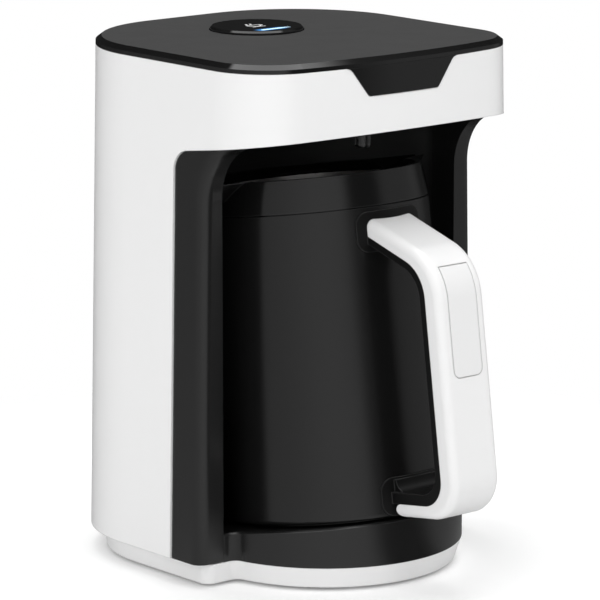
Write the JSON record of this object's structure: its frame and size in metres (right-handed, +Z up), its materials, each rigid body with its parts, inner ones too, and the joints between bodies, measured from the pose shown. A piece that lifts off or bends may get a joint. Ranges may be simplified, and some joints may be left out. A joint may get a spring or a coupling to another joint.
{
  "type": "electric turkish coffee maker",
  "caption": "Countertop electric Turkish coffee maker: a rounded pale body with a dark bay, one push button on top and a tall two-spout jug with a handle that slides out",
  "frame": {"origin": "on the floor, below the middle of the whole outline with the jug in its place", "axes": "+X to the machine's right as seen from the front, +Y towards the back wall, +Z up; the jug and its handle face -Y"},
  "size_m": [0.155, 0.197, 0.2216],
  "materials": {
    "pale_shell": "satin",
    "pale_base": "matt",
    "dark_lining": "fine satin",
    "grey_plate": "fine texture with a polished edge",
    "dark_badge": "polished",
    "dark_button": "polished",
    "light_lens": "clear, lit from below",
    "jug_black": "satin",
    "handle_black": "satin",
    "thumb_pad": "satin",
    "pot_steel": "brushed",
    "seal_rubber": "matt",
    "heater_metal": "cast",
    "cutout_body": "moulded",
    "contact_brass": "bright",
    "screw_steel": "zinc plated",
    "board_green": "coated board",
    "component_dark": "moulded",
    "component_blue": "moulded",
    "component_white": "moulded",
    "window_glass": "clear",
    "wire_cover": "soft insulation"
  },
  "bodies": {
    "machine": {"base_tray": "pale_base", "board_screws": "screw_steel", "boil_sensor": "component_dark", "bottom_cover": "dark_lining", "button_guide": "dark_button", "button_switch": "component_dark", "buzzer": "component_dark", "cavity_liner": "dark_lining", "control_board": "board_green", "cord_clamp": "component_dark", "cord_gland": "dark_lining", "cover_screws": "screw_steel", "dock_contacts": "contact_brass", "filter_capacitor": "component_dark", "front_badge": "dark_badge", "head_cover": "dark_lining", "jug_dock": "dark_lining", "outer_shell": "pale_shell", "pedestal": "dark_lining", "power_board": "board_green", "power_board_screws": "screw_steel", "relay": "component_blue", "rubber_feet": "seal_rubber", "sensor_window": "window_glass", "shell_screws": "screw_steel", "status_light": "component_white", "terminal_block": "component_white", "top_plate": "grey_plate", "transformer": "component_dark", "wiring_harness": "wire_cover"},
    "button": {"button_cap": "dark_button", "button_lens": "light_lens", "button_spring": "screw_steel"},
    "jug": {"jug_body": "jug_black", "jug_collar": "jug_black", "inner_pot": "pot_steel", "pot_seal": "seal_rubber", "heating_plate": "heater_metal", "heating_element": "heater_metal", "thermal_cutout": "cutout_body", "jug_base": "jug_black", "jug_socket": "cutout_body", "socket_springs": "contact_brass", "handle_shell": "pale_shell", "handle_pad": "thumb_pad", "handle_core": "handle_black", "handle_screws": "screw_steel"}
  },
  "joints": [
    {"name": "button_press", "type": "slide", "parent": "machine", "child": "button", "axis": [0, 0, -1], "range_m": [0, 0.0014], "stiffness_N_per_m": 800, "deforming": ["button_spring"]},
    {"name": "jug_pull", "type": "slide", "parent": "machine", "child": "jug", "axis": [0, -0.9903, 0.1392], "range_m": [0, 0.15]}
  ]
}
